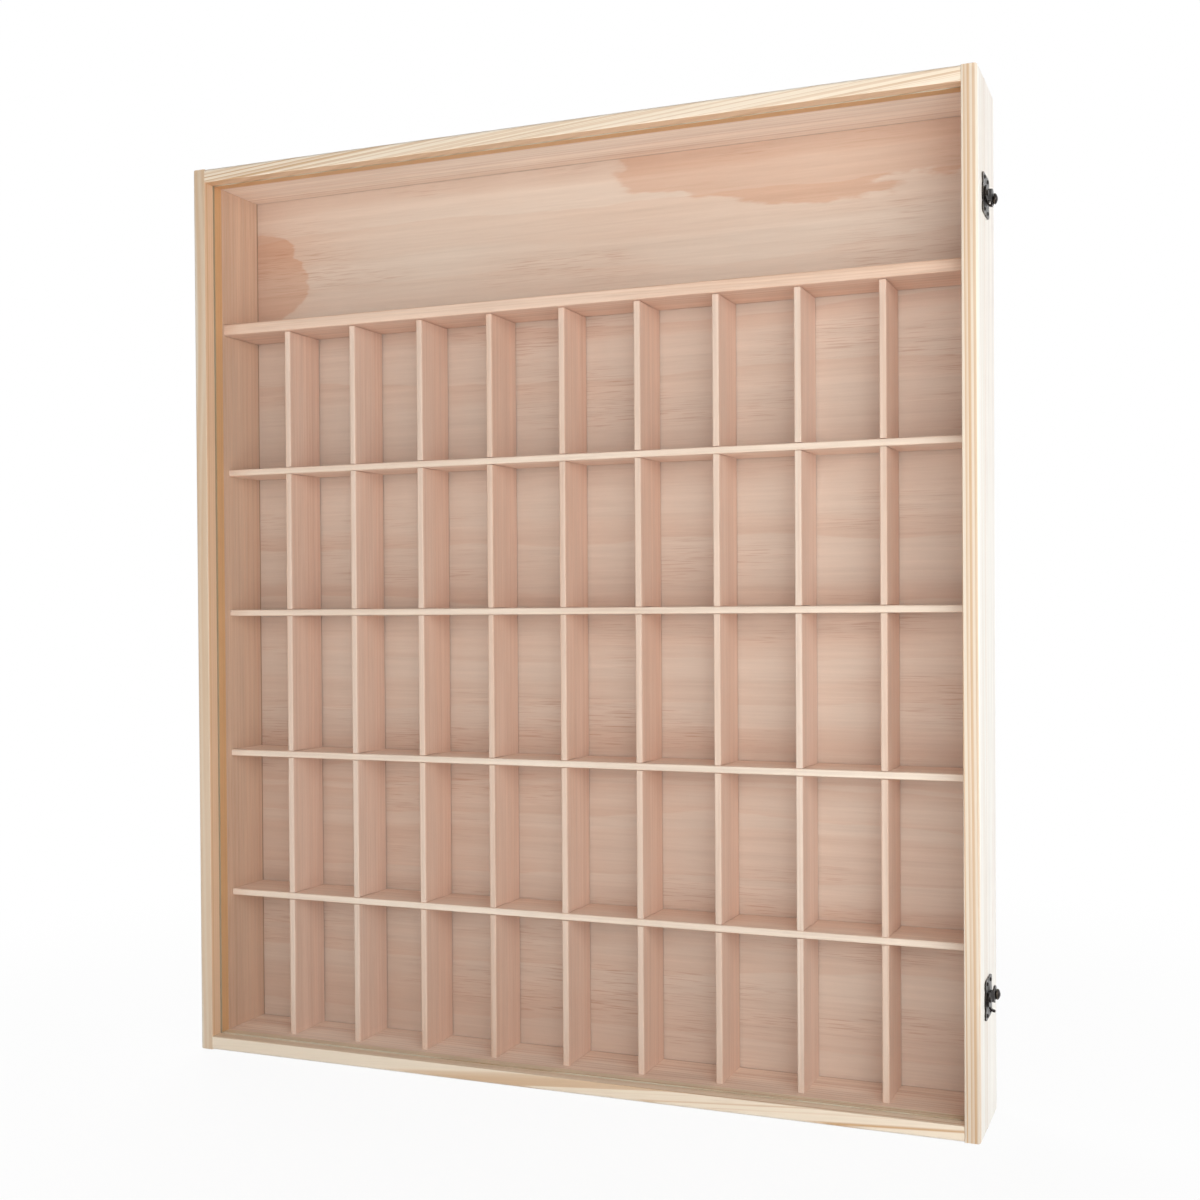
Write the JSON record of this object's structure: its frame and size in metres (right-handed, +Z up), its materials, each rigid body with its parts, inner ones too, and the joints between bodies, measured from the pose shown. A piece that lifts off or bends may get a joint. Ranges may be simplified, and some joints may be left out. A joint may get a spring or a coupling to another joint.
{
  "type": "display cabinet",
  "caption": "Shallow wall or shelf display cabinet in pine with a glazed hinged door, two swing latches, a tall top compartment and a cross-lapped grid of figure cells.",
  "frame": {"origin": "centre of the cabinet's footprint, on the underside of the case bottom board", "axes": "+Z up along the cabinet's height, +Y to the back panel and the wall, the door faces -Y, +X to the latch side"},
  "size_m": [0.7129, 0.085, 0.8],
  "materials": {
    "frame_pine": "clear satin pine with amber growth lines",
    "case_pine": "clear satin pine",
    "grid_pine": "clear satin pine, eased edges",
    "back_board": "matt pine sheet, grain across",
    "clear_acrylic": "clear polished sheet",
    "aged_bronze": "plated steel, aged dark bronze, worn on the edges"
  },
  "bodies": {
    "cabinet": {"case_back_panel": "back_board", "case_bottom": "case_pine", "case_left_side": "case_pine", "case_right_side": "case_pine", "case_top": "case_pine", "display_shelf": "case_pine", "grid_divider_1": "grid_pine", "grid_divider_2": "grid_pine", "grid_divider_3": "grid_pine", "grid_divider_4": "grid_pine", "grid_divider_5": "grid_pine", "grid_divider_6": "grid_pine", "grid_divider_7": "grid_pine", "grid_divider_8": "grid_pine", "grid_divider_9": "grid_pine", "grid_shelf_1": "grid_pine", "grid_shelf_2": "grid_pine", "grid_shelf_3": "grid_pine", "grid_shelf_4": "grid_pine", "lower_hinge_case_leaf": "aged_bronze", "lower_hinge_case_screw_lower": "aged_bronze", "lower_hinge_case_screw_upper": "aged_bronze", "lower_hinge_pin": "aged_bronze", "lower_latch_catch_plate": "aged_bronze", "lower_latch_catch_post": "aged_bronze", "lower_latch_catch_screw_lower": "aged_bronze", "lower_latch_catch_screw_upper": "aged_bronze", "upper_hinge_case_leaf": "aged_bronze", "upper_hinge_case_screw_lower": "aged_bronze", "upper_hinge_case_screw_upper": "aged_bronze", "upper_hinge_pin": "aged_bronze", "upper_latch_catch_plate": "aged_bronze", "upper_latch_catch_post": "aged_bronze", "upper_latch_catch_screw_lower": "aged_bronze", "upper_latch_catch_screw_upper": "aged_bronze"},
    "door": {"door_bottom_rail": "frame_pine", "door_glazing": "clear_acrylic", "door_left_stile": "frame_pine", "door_right_stile": "frame_pine", "door_top_rail": "frame_pine", "lower_hinge_door_leaf": "aged_bronze", "lower_hinge_door_screw_lower": "aged_bronze", "lower_hinge_door_screw_upper": "aged_bronze", "lower_latch_door_plate": "aged_bronze", "lower_latch_door_screw_lower": "aged_bronze", "lower_latch_door_screw_upper": "aged_bronze", "lower_latch_pivot_rivet": "aged_bronze", "upper_hinge_door_leaf": "aged_bronze", "upper_hinge_door_screw_lower": "aged_bronze", "upper_hinge_door_screw_upper": "aged_bronze", "upper_latch_door_plate": "aged_bronze", "upper_latch_door_screw_lower": "aged_bronze", "upper_latch_door_screw_upper": "aged_bronze", "upper_latch_pivot_rivet": "aged_bronze"},
    "lower_hook": {"lower_latch_hook": "aged_bronze"},
    "upper_hook": {"upper_latch_hook": "aged_bronze"}
  },
  "joints": [
    {"name": "door_hinge", "type": "hinge", "parent": "cabinet", "child": "door", "pos_m": [-0.3525, -0.00925, 0.4], "axis": [0, 0, -1], "range_deg": [0, 180]},
    {"name": "lower_hook_pivot", "type": "hinge", "parent": "door", "child": "lower_hook", "pos_m": [0.35, -0.01625, 0.102], "axis": [1, 0, 0], "range_deg": [0, 180]},
    {"name": "upper_hook_pivot", "type": "hinge", "parent": "door", "child": "upper_hook", "pos_m": [0.35, -0.01625, 0.71], "axis": [1, 0, 0], "range_deg": [0, 180]}
  ]
}
